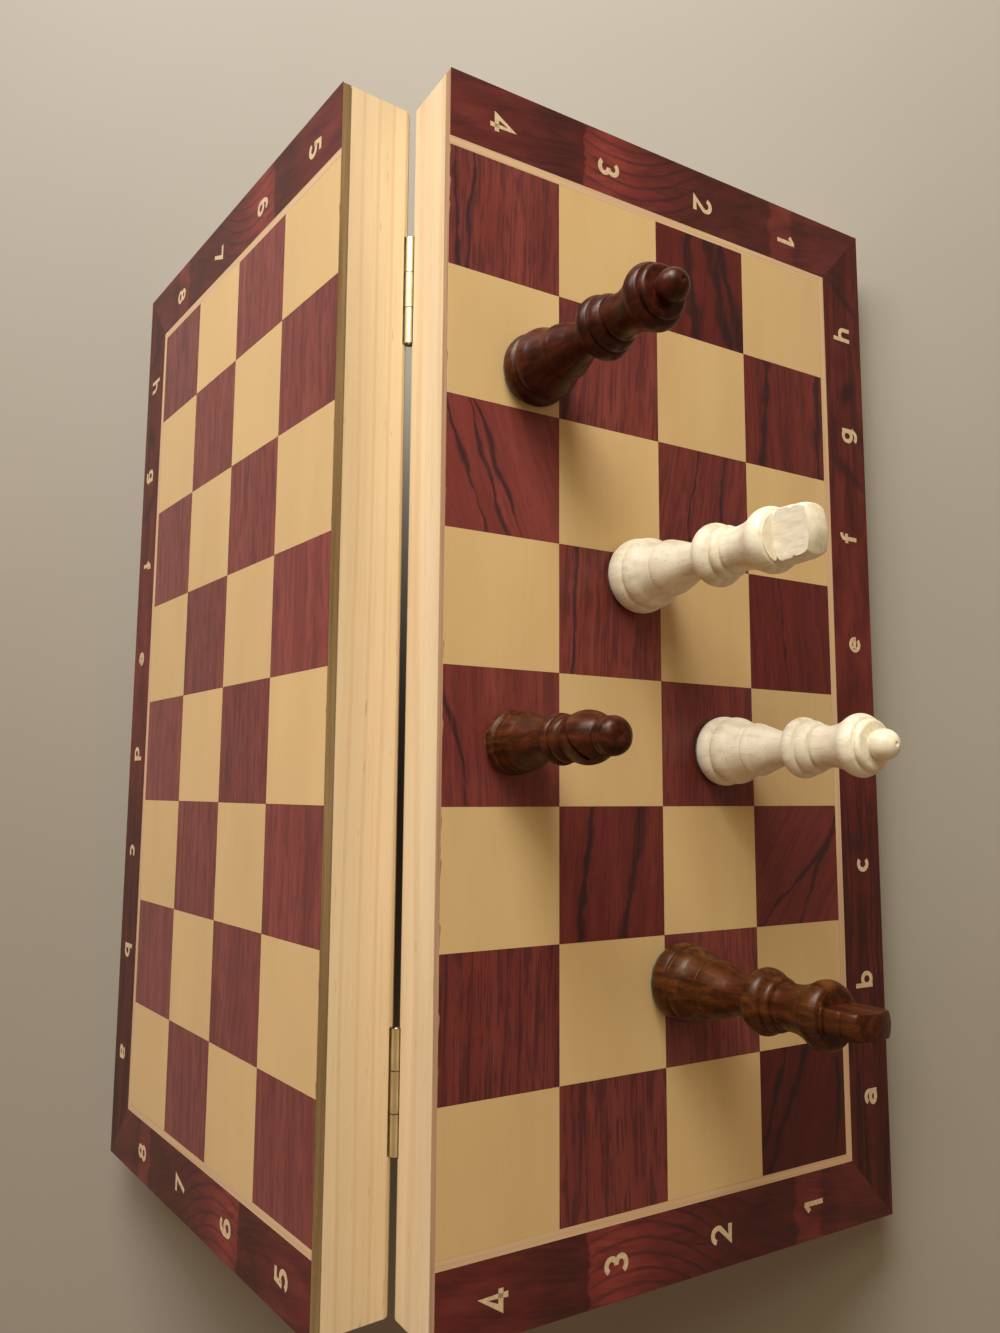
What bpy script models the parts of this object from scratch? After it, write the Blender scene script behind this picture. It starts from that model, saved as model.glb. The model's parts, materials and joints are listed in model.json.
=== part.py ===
"""Folding magnetic chess box, standing open as a tent, with five men on its right half.

Metres, +Z up. The origin is on the floor under the middle of the hinge line. +Y runs along the
hinge line towards the h-file, +X towards the first rank. Each half of the box is laid out in its
own frame, held by an empty on the hinge line: local X runs out along the playing surface, local Z
is that surface's outward normal, and local Z = 0 is the plane where the closed box parts.
"""

import math

import bmesh
import bpy
from mathutils import Matrix, Vector

MM = 0.001

# Board
SQUARE = 42.7 * MM
SQUARES_ALONG = 8
SQUARES_ACROSS_HALF = 4
BORDER = 24.2 * MM
HALF_WIDTH = SQUARES_ACROSS_HALF * SQUARE + BORDER
LENGTH = SQUARES_ALONG * SQUARE + 2 * BORDER
PANEL_THICKNESS = 3.0 * MM
SURFACE_HEIGHT = 26.9 * MM          # playing surface above the parting plane
SLOPE = math.radians(42.5)          # each playing surface below the horizontal

# Frame
GAP = 0.3 * MM                      # between pieces that touch
PARTING = 0.2 * MM                  # from every moving face to the hinge planes
RAIL_THICKNESS = 9.0 * MM
RAIL_TOP = SURFACE_HEIGHT - PANEL_THICKNESS - GAP
RIM_RADIUS = 2.2 * MM
RIM_SEGMENTS = 3
STEEL_THICKNESS = 0.4 * MM
LINING_THICKNESS = 1.0 * MM

# Hinges
HINGE_OFFSET = 130.0 * MM           # hinge centres each side of the middle
HINGE_LENGTH = 38.0 * MM
KNUCKLE_RADIUS = 1.9 * MM
KNUCKLE_BORE = 1.15 * MM
PIN_RADIUS = 0.85 * MM
KNUCKLES = 3
LEAF_THICKNESS = 1.2 * MM
LEAF_REACH = 7.6 * MM
TAB_INSET = 0.05 * MM               # knuckle tabs are a touch thinner than the leaf
SCREW_OFFSET = 11.0 * MM            # screws each side of the hinge's middle
SCREW_INSET = 5.0 * MM
SCREW_HEAD_RADIUS = 1.75 * MM
SCREW_SHANK_RADIUS = 0.9 * MM
SCREW_LENGTH = 8.0 * MM
SCREW_SLOT = 0.5 * MM
SCREW_RECESS = 0.05 * MM            # heads sit a touch below the leaf
PIN_DOME = 0.4                      # length of the pin's rounded end over its radius

# Magnets and felts
CLOSURE_MAGNET_RADIUS = 4.0 * MM
CLOSURE_MAGNET_THICKNESS = 3.0 * MM
CLOSURE_MAGNET_INSET = 0.4 * MM
FELT_THICKNESS = 0.8 * MM
PIECE_BASE_HEIGHT = GAP + FELT_THICKNESS + GAP
PIECE_MAGNET_THICKNESS = 4.0 * MM

ROUND_SEGMENTS = 20
MAN_SEGMENTS = 16
SMALL_SEGMENTS = 12
ARC_STEPS_LONG = 3                  # steps along an outline's arc, if its chord is long
ARC_STEPS_SHORT = 1
LONG_CHORD = 2.5                    # in the outlines' millimetres
TOOL_OVERRUN = 2.0 * MM
EMPTY_SIZE = 20.0 * MM
SHARP_ANGLE = math.radians(35.0)
SMALLEST = 1e-6                     # lengths below this count as zero

# The axis stands where the rounded front rims just touch the floor.
REACH = PARTING + HALF_WIDTH
AXIS_HEIGHT = (
    (REACH - RIM_RADIUS) * math.sin(SLOPE)
    - (PARTING + RIM_RADIUS) * math.cos(SLOPE)
    + RIM_RADIUS
)

# Turned outlines in millimetres, base upwards: (radius, height, bulge). The bulge is the height of
# the arc that reaches the point from the one before it: outwards if positive, inwards if negative.
KING_OUTLINE = [
    (11.9, 0.0, 0.0), (12.5, 0.9, 0.1), (12.2, 5.6, 0.4), (11.6, 6.1, 0.0), (11.8, 6.7, 0.0),
    (12.0, 8.2, 0.1), (10.4, 11.8, 0.3), (9.0, 16.6, -0.2), (9.1, 17.4, 0.0), (8.8, 20.6, 0.2),
    (6.4, 27.6, 0.1), (5.9, 32.0, -0.1), (6.3, 36.0, -0.1), (9.2, 37.4, -0.3), (8.3, 43.1, 1.2),
    (7.9, 43.5, 0.0), (8.2, 44.0, 0.0), (7.3, 46.6, 0.3), (6.8, 47.0, 0.0), (7.0, 47.6, 0.0),
    (6.9, 51.4, -0.1), (9.3, 59.8, -0.5), (9.9, 61.8, 0.1), (8.5, 65.8, 0.4), (8.1, 66.1, 0.0),
    (7.0, 66.9, 0.0), (7.9, 68.4, 0.2), (7.9, 72.0, 0.0), (7.1, 72.8, 0.0), (7.7, 73.6, 0.0),
    (6.9, 76.6, 0.3), (0.0, 79.6, 0.9),
]
QUEEN_OUTLINE = [
    (11.2, 0.0, 0.0), (11.8, 0.9, 0.1), (11.5, 5.1, 0.4), (10.9, 5.6, 0.0), (11.1, 6.2, 0.0),
    (11.5, 8.0, 0.1), (10.4, 12.0, 0.3), (8.8, 17.4, -0.2), (8.9, 18.2, 0.0), (8.3, 20.8, 0.2),
    (6.3, 26.8, 0.1), (5.7, 31.0, -0.1), (6.1, 35.0, -0.1), (9.0, 36.4, -0.3), (8.9, 40.9, 0.9),
    (8.4, 41.3, 0.0), (8.6, 41.8, 0.0), (7.2, 45.4, 0.3), (6.6, 45.8, 0.0), (6.8, 46.4, 0.0),
    (6.5, 50.4, -0.1), (9.2, 58.7, -0.5), (9.8, 60.7, 0.1), (8.5, 63.9, 0.3), (8.0, 64.2, 0.0),
    (8.0, 64.8, 0.0), (6.4, 66.0, 0.3), (3.9, 66.2, 0.0), (4.2, 71.1, 0.7), (1.4, 73.4, 0.4),
    (0.8, 73.5, 0.0), (0.0, 73.0, 0.0),
]
BISHOP_OUTLINE = [
    (9.4, 0.0, 0.0), (9.9, 0.7, 0.1), (9.7, 3.4, 0.3), (9.1, 3.9, 0.0), (9.2, 4.4, 0.0),
    (9.1, 8.0, 0.3), (8.1, 12.4, 0.3), (6.3, 18.4, 0.1), (5.7, 22.6, -0.1), (6.0, 25.2, -0.1),
    (7.2, 25.9, -0.1), (6.9, 28.9, 0.5), (6.5, 29.2, 0.0), (6.7, 29.7, 0.0), (6.1, 32.7, 0.4),
    (5.7, 33.1, 0.0), (5.9, 33.6, 0.0), (5.3, 47.0, 2.1), (4.9, 47.5, 0.0), (5.4, 50.4, 0.4),
    (0.0, 54.5, 2.2),
]
KING_FINIAL_BASE = 66.9 * MM
KING_FINIAL_THICKNESS = 7.4 * MM
BISHOP_CUT_HEIGHT = 40.2 * MM
BISHOP_CUT_WIDTH = 1.2 * MM
BISHOP_CUT_DEPTH = 5.0 * MM
BISHOP_CUT_ANGLE = math.radians(32.0)
BISHOP_HEAD_RADIUS = 7.8 * MM
TOOL_REACH = 20.0 * MM              # half-size of the tools that cut a man's head

# The men: name, outline, squares out from the hinge line, squares from the h-file's edge, and the
# turn about its own axis in degrees.
MEN = [
    ("dark_queen", "queen", 0.735, 1.70, 0.0),
    ("white_king", "king", 1.73, 3.185, 4.0),
    ("dark_bishop", "bishop", 0.56, 4.54, 0.0),
    ("white_queen", "queen", 2.60, 4.55, 0.0),
    ("dark_king", "king", 2.12, 6.35, 90.0),
]
MAGNET_RADIUS = {"king": 5.5 * MM, "queen": 5.5 * MM, "bishop": 4.5 * MM}
OUTLINES = {"king": KING_OUTLINE, "queen": QUEEN_OUTLINE, "bishop": BISHOP_OUTLINE}


def clear_scene():
    for item in list(bpy.data.objects):
        bpy.data.objects.remove(item, do_unlink=True)


def make_material(name, colour, roughness, metallic=0.0):
    material = bpy.data.materials.new(name)
    material.use_nodes = True
    shader = material.node_tree.nodes["Principled BSDF"]
    shader.inputs["Base Color"].default_value = (*colour, 1.0)
    shader.inputs["Roughness"].default_value = roughness
    shader.inputs["Metallic"].default_value = metallic
    return material


def add_object(name, form, parent, location, material=None, rotation=(0.0, 0.0, 0.0)):
    """Turn a bmesh into a smooth-shaded object under its parent."""
    mesh = bpy.data.meshes.new(name)
    bmesh.ops.recalc_face_normals(form, faces=form.faces)
    form.to_mesh(mesh)
    form.free()
    mesh.shade_smooth()
    mesh.set_sharp_from_angle(angle=SHARP_ANGLE)
    item = bpy.data.objects.new(name, mesh)
    bpy.context.scene.collection.objects.link(item)
    item.parent = parent
    item.location = location
    item.rotation_euler = rotation
    if material:
        mesh.materials.append(material)
    return item


def add_empty(name, parent, location, rotation=(0.0, 0.0, 0.0)):
    empty = bpy.data.objects.new(name, None)
    empty.empty_display_size = EMPTY_SIZE
    bpy.context.scene.collection.objects.link(empty)
    empty.parent = parent
    empty.location = location
    empty.rotation_euler = rotation
    return empty


def box_form(low, high):
    """A box between two corners."""
    form = bmesh.new()
    bmesh.ops.create_cube(form, size=1.0)
    centre = [(a + b) / 2 for a, b in zip(low, high)]
    size = [b - a for a, b in zip(low, high)]
    for vertex in form.verts:
        vertex.co = Vector(c + s * v for c, s, v in zip(centre, size, vertex.co))
    return form


def turned_form(points, segments):
    """A solid of revolution about Z from (radius, height) points that start and end on the axis."""
    form = bmesh.new()
    angles = [2 * math.pi * i / segments for i in range(segments)]
    rings = []
    for radius, height in points:
        if radius < SMALLEST:
            rings.append([form.verts.new((0.0, 0.0, height))] * segments)
            continue
        spots = [(radius * math.cos(angle), radius * math.sin(angle), height) for angle in angles]
        rings.append([form.verts.new(spot) for spot in spots])
    for lower, upper in zip(rings, rings[1:]):
        for i in range(segments):
            j = (i + 1) % segments
            corners = dict.fromkeys((lower[i], lower[j], upper[j], upper[i]))
            if len(corners) > 2:
                form.faces.new(corners)
    return form


def cylinder_form(radius, low, high, segments=SMALL_SEGMENTS):
    return turned_form([(0.0, low), (radius, low), (radius, high), (0.0, high)], segments)


def arc_points(start, end, bulge, steps):
    """Points after start on the circular arc to end whose height over its chord is bulge."""
    chord = Vector(end) - Vector(start)
    if abs(bulge) < SMALLEST or steps == 1:
        return [tuple(end)]
    outward = Vector((chord.y, -chord.x)).normalized()
    half = chord.length / 2
    radius = (half * half + bulge * bulge) / (2 * bulge)
    middle = (Vector(start) + Vector(end)) / 2
    centre = middle + outward * (bulge - radius)
    sweep = 2 * math.asin(max(-1.0, min(1.0, half / radius)))
    if abs(bulge) > half:
        sweep = math.copysign(2 * math.pi, sweep) - sweep
    spoke = Vector(start) - centre
    points = []
    for step in range(1, steps + 1):
        turn = Matrix.Rotation(sweep * step / steps, 2)
        points.append(tuple(centre + turn @ spoke))
    return points


def outline_points(outline):
    """Radius and height in metres along a turned outline, from the middle of its foot."""
    points = [(0.0, outline[0][1]), (outline[0][0], outline[0][1])]
    for radius, height, bulge in outline[1:]:
        chord = math.hypot(radius - points[-1][0], height - points[-1][1])
        steps = ARC_STEPS_LONG if chord > LONG_CHORD else ARC_STEPS_SHORT
        points += arc_points(points[-1], (radius, height), bulge, steps)
    return [(max(radius, 0.0) * MM, height * MM) for radius, height in points]


def apply_boolean(target, tool, operation="DIFFERENCE"):
    """Leave an exact boolean on the target and hide its tool."""
    modifier = target.modifiers.new(f"{operation.lower()}_{tool.name}"[:60], "BOOLEAN")
    modifier.operation = operation
    modifier.solver = "EXACT"
    modifier.object = tool
    tool.hide_render = True
    tool.display_type = "WIRE"


def rail_form(low, high, round_edges):
    """A straight rail with the edges that round_edges picks worked to the rim radius."""
    form = box_form(low, high)
    picked = [edge for edge in form.edges if round_edges(edge.verts[0].co, edge.verts[1].co)]
    bmesh.ops.bevel(
        form, geom=picked, offset=RIM_RADIUS, segments=RIM_SEGMENTS, profile=0.5,
        affect="EDGES", clamp_overlap=True,
    )
    return form


def both_at(axis, value):
    """A test for edges that lie in the plane axis = value."""
    def test(start, end):
        return abs(start[axis] - value) < SMALLEST and abs(end[axis] - value) < SMALLEST
    return test


def make_half(side, frame, flip, looks):
    """One half of the box. flip is -1 where local Y runs towards the a-file."""
    sides = {"h": flip, "a": -flip}
    rail_low = PARTING
    inner_low = PARTING + RAIL_THICKNESS + GAP
    inner_high = REACH - RAIL_THICKNESS - GAP
    inner_side = LENGTH / 2 - RAIL_THICKNESS - GAP
    in_rim_plane = both_at(2, rail_low)

    def plate(name, outs, reach, high, thickness, look):
        form = box_form((outs[0], -reach, high - thickness), (outs[1], reach, high))
        add_object(f"{name}_{side}", form, frame, (0, 0, 0), looks[look])

    plate("playing_panel", (PARTING, REACH), LENGTH / 2, SURFACE_HEIGHT, PANEL_THICKNESS, "panel")
    plate("steel_sheet", (inner_low, inner_high), inner_side, RAIL_TOP, STEEL_THICKNESS, "steel")
    lining_high = RAIL_TOP - STEEL_THICKNESS - GAP
    plate("felt_lining", (inner_low, inner_high), inner_side, lining_high, LINING_THICKNESS, "lining")

    def long_rail(name, outer, inner):
        def outer_edges(start, end):
            if not in_rim_plane(start, end):
                return False
            at_an_end = both_at(1, LENGTH / 2)(start, end) or both_at(1, -LENGTH / 2)(start, end)
            return at_an_end or both_at(0, outer)(start, end)
        low = (min(outer, inner), -LENGTH / 2, rail_low)
        high = (max(outer, inner), LENGTH / 2, RAIL_TOP)
        return add_object(name, rail_form(low, high, outer_edges), frame, (0, 0, 0), looks["pine"])

    back_rail = long_rail(f"back_rail_{side}", PARTING, PARTING + RAIL_THICKNESS)
    front_rail = long_rail(f"front_rail_{side}", REACH, REACH - RAIL_THICKNESS)

    for file_name, sign in sides.items():
        outer = sign * LENGTH / 2
        inner = sign * (LENGTH / 2 - RAIL_THICKNESS)

        def outer_edge(start, end, outer=outer):
            return in_rim_plane(start, end) and both_at(1, outer)(start, end)
        low = (inner_low, min(outer, inner), rail_low)
        high = (inner_high, max(outer, inner), RAIL_TOP)
        form = rail_form(low, high, outer_edge)
        add_object(f"side_rail_{file_name}_{side}", form, frame, (0, 0, 0), looks["pine"])

    for file_name, sign in sides.items():
        make_closure_magnet(f"closure_magnet_{side}_{file_name}", frame, front_rail, sign, looks)
        make_hinge_leaf(side, file_name, frame, back_rail, sign * HINGE_OFFSET, looks)


def make_closure_magnet(name, frame, front_rail, sign, looks):
    """A disc magnet in a blind hole in the front rim."""
    location = (REACH - RAIL_THICKNESS / 2, sign * HINGE_OFFSET, 0.0)
    low = PARTING + CLOSURE_MAGNET_INSET
    high = low + CLOSURE_MAGNET_THICKNESS
    hole = add_object(
        f"cut_{name}",
        cylinder_form(CLOSURE_MAGNET_RADIUS + GAP, PARTING - TOOL_OVERRUN, high + GAP, MAN_SEGMENTS),
        frame, location,
    )
    apply_boolean(front_rail, hole)
    magnet = cylinder_form(CLOSURE_MAGNET_RADIUS, low, high, MAN_SEGMENTS)
    add_object(name, magnet, frame, location, looks["magnet"])


def knuckle_spans():
    """Where each knuckle starts and ends along the hinge, from its middle."""
    pitch = HINGE_LENGTH / KNUCKLES
    starts = [i * pitch - HINGE_LENGTH / 2 for i in range(KNUCKLES)]
    return [(start + GAP / 2, start + pitch - GAP / 2) for start in starts]


def make_hinge_leaf(side, file_name, frame, back_rail, middle, looks):
    """A leaf let into the back rim, its knuckles, its screws and the pocket they all need."""
    leaf_low = PARTING
    leaf_high = leaf_low + LEAF_THICKNESS
    relief = KNUCKLE_RADIUS + GAP
    own = slice(0, None, 2) if side == "right" else slice(1, None, 2)
    spans = knuckle_spans()[own]
    name = f"hinge_leaf_{side}_{file_name}"
    half = HINGE_LENGTH / 2

    leaf = add_object(
        name, box_form((relief, middle - half, leaf_low), (LEAF_REACH, middle + half, leaf_high)),
        frame, (0, 0, 0), looks["brass"],
    )
    for number, offset in enumerate((-SCREW_OFFSET, SCREW_OFFSET), start=1):
        label = f"hinge_screw_{side}_{file_name}_{number}"
        make_hinge_screw(label, frame, leaf, back_rail, (SCREW_INSET, middle + offset, PARTING), looks)

    along_y = (math.radians(-90.0), 0.0, 0.0)
    for index, (start, end) in enumerate(spans):
        tab = add_object(
            f"tab_{index}_{name}",
            box_form(
                (KNUCKLE_BORE, middle + start + TAB_INSET, leaf_low + TAB_INSET),
                (relief + GAP, middle + end - TAB_INSET, leaf_high - TAB_INSET),
            ),
            frame, (0, 0, 0),
        )
        apply_boolean(leaf, tab, "UNION")
        knuckle = add_object(
            f"knuckle_{index}_{name}",
            cylinder_form(KNUCKLE_RADIUS, start, end, ROUND_SEGMENTS),
            frame, (0, middle, 0), None, along_y,
        )
        apply_boolean(leaf, knuckle, "UNION")
    bore = add_object(
        f"bore_{name}",
        cylinder_form(KNUCKLE_BORE, -half - TOOL_OVERRUN, half + TOOL_OVERRUN, ROUND_SEGMENTS),
        frame, (0, middle, 0), None, along_y,
    )
    apply_boolean(leaf, bore)

    pocket = add_object(
        f"pocket_{name}",
        box_form(
            (-TOOL_OVERRUN, middle - half - GAP, -TOOL_OVERRUN),
            (LEAF_REACH + GAP, middle + half + GAP, leaf_high + GAP),
        ),
        frame, (0, 0, 0),
    )
    apply_boolean(back_rail, pocket)
    barrel_space = add_object(
        f"barrel_space_{name}",
        box_form(
            (-TOOL_OVERRUN, middle - half - GAP, -TOOL_OVERRUN),
            (relief + GAP, middle + half + GAP, relief + GAP),
        ),
        frame, (0, 0, 0),
    )
    apply_boolean(back_rail, barrel_space)


def make_hinge_screw(name, frame, leaf, back_rail, location, looks):
    """A countersunk screw, head out of the rim, with its hole in the leaf and in the rail."""
    cone = SCREW_HEAD_RADIUS - SCREW_SHANK_RADIUS
    tip = SCREW_LENGTH - 2 * SCREW_SHANK_RADIUS
    body = turned_form(
        [
            (0.0, SCREW_RECESS), (SCREW_HEAD_RADIUS, SCREW_RECESS),
            (SCREW_SHANK_RADIUS, cone + SCREW_RECESS), (SCREW_SHANK_RADIUS, tip), (0.0, SCREW_LENGTH),
        ],
        SMALL_SEGMENTS,
    )
    screw = add_object(name, body, frame, location, looks["brass"])
    slot = add_object(
        f"slot_{name}",
        box_form(
            (-SCREW_HEAD_RADIUS - TOOL_OVERRUN, -SCREW_SLOT / 2, -TOOL_OVERRUN),
            (SCREW_HEAD_RADIUS + TOOL_OVERRUN, SCREW_SLOT / 2, SCREW_SLOT),
        ),
        frame, location,
    )
    apply_boolean(screw, slot)
    wide = SCREW_HEAD_RADIUS + GAP
    narrow = SCREW_SHANK_RADIUS + GAP
    deep = SCREW_LENGTH + GAP
    hole = add_object(
        f"hole_{name}",
        turned_form(
            [
                (0.0, -TOOL_OVERRUN), (wide, -TOOL_OVERRUN), (wide, SCREW_RECESS),
                (narrow, wide - narrow + SCREW_RECESS), (narrow, deep), (0.0, deep),
            ],
            SMALL_SEGMENTS,
        ),
        frame, location,
    )
    apply_boolean(leaf, hole)
    apply_boolean(back_rail, hole)


def make_hinge_pin(file_name, frame, middle, looks):
    half = HINGE_LENGTH / 2
    dome = PIN_RADIUS * PIN_DOME
    form = turned_form(
        [
            (0.0, -half), (PIN_RADIUS - dome, -half), (PIN_RADIUS, dome - half),
            (PIN_RADIUS, half - dome), (PIN_RADIUS - dome, half), (0.0, half),
        ],
        SMALL_SEGMENTS,
    )
    turn = (math.radians(-90.0), 0.0, 0.0)
    add_object(f"hinge_pin_{file_name}", form, frame, (0, middle, 0), looks["brass"], turn)


def square_position(out, from_h):
    """Local X and Y of a point given in squares from the hinge line and from the h-file's edge."""
    return out * SQUARE, LENGTH / 2 - BORDER - from_h * SQUARE


def make_man(name, kind, out, from_h, turn, board, looks):
    """One turned man with its magnet and its felt, on an empty that stands on the board."""
    x, y = square_position(out, from_h)
    stand = add_empty(f"{name}_stand", board, (x, y, SURFACE_HEIGHT), (0, 0, math.radians(turn)))
    wood = looks["dark_wood"] if name.startswith("dark") else looks["white_wood"]
    base = (0, 0, PIECE_BASE_HEIGHT)
    turning = turned_form(outline_points(OUTLINES[kind]), MAN_SEGMENTS)
    body = add_object(f"{name}_body", turning, stand, base, wood)

    magnet_radius = MAGNET_RADIUS[kind]
    pocket = add_object(
        f"pocket_{name}",
        cylinder_form(magnet_radius + GAP, -TOOL_OVERRUN, PIECE_MAGNET_THICKNESS + GAP, MAN_SEGMENTS),
        stand, base,
    )
    apply_boolean(body, pocket)
    magnet = cylinder_form(magnet_radius, 0.0, PIECE_MAGNET_THICKNESS, MAN_SEGMENTS)
    add_object(f"{name}_magnet", magnet, stand, base, looks["magnet"])
    felt_radius = OUTLINES[kind][0][0] * MM - GAP
    felt = cylinder_form(felt_radius, 0.0, FELT_THICKNESS, MAN_SEGMENTS)
    add_object(f"{name}_felt", felt, stand, (0, 0, GAP), looks["felt"])

    if kind == "king":
        cut_king_finial(name, body, stand)
    if kind == "bishop":
        cut_bishop_mitre(name, body, stand)


def cut_king_finial(name, body, stand):
    """Slice the turned post flat on both sides, square to the stand's X."""
    reach = TOOL_REACH
    near = KING_FINIAL_THICKNESS / 2
    slabs = box_form((-reach, -reach, KING_FINIAL_BASE), (-near, reach, KING_FINIAL_BASE + reach))
    copies = bmesh.ops.duplicate(slabs, geom=slabs.verts[:] + slabs.edges[:] + slabs.faces[:])["geom"]
    other = [item for item in copies if isinstance(item, bmesh.types.BMVert)]
    bmesh.ops.translate(slabs, verts=other, vec=(reach + near, 0, 0))
    tool = add_object(f"slabs_{name}", slabs, stand, (0, 0, PIECE_BASE_HEIGHT))
    apply_boolean(body, tool)


def cut_bishop_mitre(name, body, stand):
    """Saw the slanting kerf into the side of the bishop's head that faces the hinge line."""
    reach = TOOL_REACH
    half = BISHOP_CUT_WIDTH / 2
    kerf = add_object(
        f"kerf_{name}",
        box_form((-reach, -reach, -half), (BISHOP_CUT_DEPTH - BISHOP_HEAD_RADIUS, reach, half)),
        stand, (0, 0, PIECE_BASE_HEIGHT + BISHOP_CUT_HEIGHT), None, (-BISHOP_CUT_ANGLE, 0, 0),
    )
    apply_boolean(body, kerf)


def make_looks():
    return {
        "panel": make_material("veneered_panel", (0.28, 0.10, 0.07), 0.35),
        "steel": make_material("thin_steel", (0.55, 0.56, 0.58), 0.35, 1.0),
        "lining": make_material("black_felt", (0.03, 0.03, 0.035), 0.95),
        "pine": make_material("pale_pine", (0.78, 0.58, 0.36), 0.5),
        "brass": make_material("hinge_brass", (0.78, 0.62, 0.32), 0.3, 1.0),
        "magnet": make_material("magnet_nickel", (0.6, 0.6, 0.62), 0.3, 1.0),
        "felt": make_material("base_felt", (0.05, 0.16, 0.08), 0.95),
        "dark_wood": make_material("dark_turned_wood", (0.12, 0.035, 0.02), 0.3),
        "white_wood": make_material("white_turned_wood", (0.85, 0.76, 0.60), 0.4),
    }


def main():
    clear_scene()
    looks = make_looks()
    hinge_line = add_empty("hinge_line", None, (0, 0, AXIS_HEIGHT))
    right = add_empty("right_half_frame", hinge_line, (0, 0, 0), (0, SLOPE, 0))
    left = add_empty("left_half_frame", hinge_line, (0, 0, 0), (0, SLOPE, math.pi))
    make_half("right", right, 1, looks)
    make_half("left", left, -1, looks)
    for file_name, sign in (("h", 1), ("a", -1)):
        make_hinge_pin(file_name, right, sign * HINGE_OFFSET, looks)
    for name, kind, out, from_h, turn in MEN:
        make_man(name, kind, out, from_h, turn, right, looks)


main()
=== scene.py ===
"""Looks of the folding chess box, standing open as a tent, and of the five men on its right half.

Every piece is built in the row frame. A half's own directions are out (from the hinge line down its
playing surface), along (world +Y, towards the h-file) and up (out of its playing surface). Wood
patterns read the point attribute "grain": metres along the grain, across it, and through it.
"""

import json
import math
import random

import bmesh
import bpy
from mathutils import Matrix, Vector, noise


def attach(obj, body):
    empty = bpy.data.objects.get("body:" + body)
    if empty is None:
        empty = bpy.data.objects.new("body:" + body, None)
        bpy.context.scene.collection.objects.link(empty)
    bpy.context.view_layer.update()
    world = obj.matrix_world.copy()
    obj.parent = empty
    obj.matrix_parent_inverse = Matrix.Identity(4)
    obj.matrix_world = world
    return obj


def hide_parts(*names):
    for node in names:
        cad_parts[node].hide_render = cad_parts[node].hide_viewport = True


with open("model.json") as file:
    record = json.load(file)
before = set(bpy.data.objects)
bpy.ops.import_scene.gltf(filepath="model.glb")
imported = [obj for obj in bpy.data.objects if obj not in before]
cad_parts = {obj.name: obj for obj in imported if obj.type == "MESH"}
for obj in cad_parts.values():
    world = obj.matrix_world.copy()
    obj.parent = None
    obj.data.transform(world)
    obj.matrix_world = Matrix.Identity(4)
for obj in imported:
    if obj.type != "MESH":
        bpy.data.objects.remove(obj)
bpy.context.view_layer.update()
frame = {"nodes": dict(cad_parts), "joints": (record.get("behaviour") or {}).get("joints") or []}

MM = 0.001
JOINTS = {joint["name"]: joint for joint in frame["joints"]}
AXIS = Vector(JOINTS["fold"]["pos_m"])
RIGHT_NORMAL = Vector(JOINTS["lift_white_king"]["axis"]).normalized()
SLOPE = math.atan2(RIGHT_NORMAL.x, RIGHT_NORMAL.z)

# Board layout
SQUARE = 42.7 * MM
SQUARES_ALONG = 8
SQUARES_OUT = 4
FIELD_OUT = SQUARES_OUT * SQUARE  # from the hinge line to the edge of the full squares
FILES = "hgfedcba"
VENEER = 0.16 * MM  # thickness of the veneer over the CAD panel
JOINT_LINE = 0.10 * MM  # dark glue line round every inlaid piece
# From where to where the pale stringing runs on each side, beyond the edge of the full squares.
STRINGING = {"h": (-2.2 * MM, 0.8 * MM), "outer": (0.1 * MM, 3.0 * MM), "a": (-1.2 * MM, 1.7 * MM)}

# Chips along the veneer's edge at the hinge line, square by square
CHIP_STEPS = 34
CHIP_CHANCE = 0.06  # at each step
CHIP_DEPTHS = (0.15, 0.5)  # millimetres
CHIP_CLOSING = 0.12 * MM  # how much shallower a chip gets with each step
CHIP_RAGGEDNESS = 0.04 * MM

# Coordinates. Distances are beyond the edge of the full squares, or along it from the first square.
INK = 0.03 * MM  # how proud they stand
COORDINATE_HEIGHT = 9.3 * MM
STROKE = 0.18  # width of a stroke, as a part of the height
STROKE_STAGGER = 0.002 * MM  # each stroke's top is this much higher than the last one's
ARC_STEP = 12.0  # degrees
SHARPEST_MITRE = 0.5  # cosine of half the turn: sharper corners are cut short
RANK_FIRST = 19.8 * MM
RANK_PITCH = 44.35 * MM
RANK_BEYOND = {1: 11.1 * MM, -1: 13.4 * MM}  # on the h side and the a side
FILE_FIRST = 21.1 * MM
FILE_PITCH = 43.0 * MM
FILE_BASELINE = 17.8 * MM

# Border foil: (metres along the band, value). The ends start at the hinge line, the outer band at
# the h-file.
END_LENGTH = 0.200
END_TONES = [
    (0.0, 1.35), (0.018, 1.3), (0.032, 1.0), (0.042, 0.82), (0.0534, 0.78), (0.054, 2.1),
    (0.064, 2.2), (0.074, 1.7), (0.084, 1.45), (0.092, 1.1), (0.1, 0.95), (0.115, 0.9),
    (0.128, 0.72), (0.14, 0.82), (0.1436, 0.8), (0.1446, 1.6), (0.155, 1.65), (0.158, 0.9),
    (0.168, 1.05), (0.2, 1.0),
]
END_RINGS = [
    (0.0, 0.0), (0.0535, 0.0), (0.0545, 0.65), (0.07, 0.8), (0.098, 0.8), (0.116, 0.1), (0.2, 0.0),
]
END_RINGS_CENTRE = (0.067, 0.064)
OUTER_LENGTH = 0.390
OUTER_TONES = [
    (0.0, 1.05), (0.03, 0.95), (0.05, 1.2), (0.07, 1.05), (0.09, 1.2), (0.12, 1.25), (0.16, 1.45),
    (0.2, 1.3), (0.23, 1.1), (0.25, 0.98), (0.29, 1.0), (0.33, 0.85), (0.36, 0.75), (0.39, 0.9),
]
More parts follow.
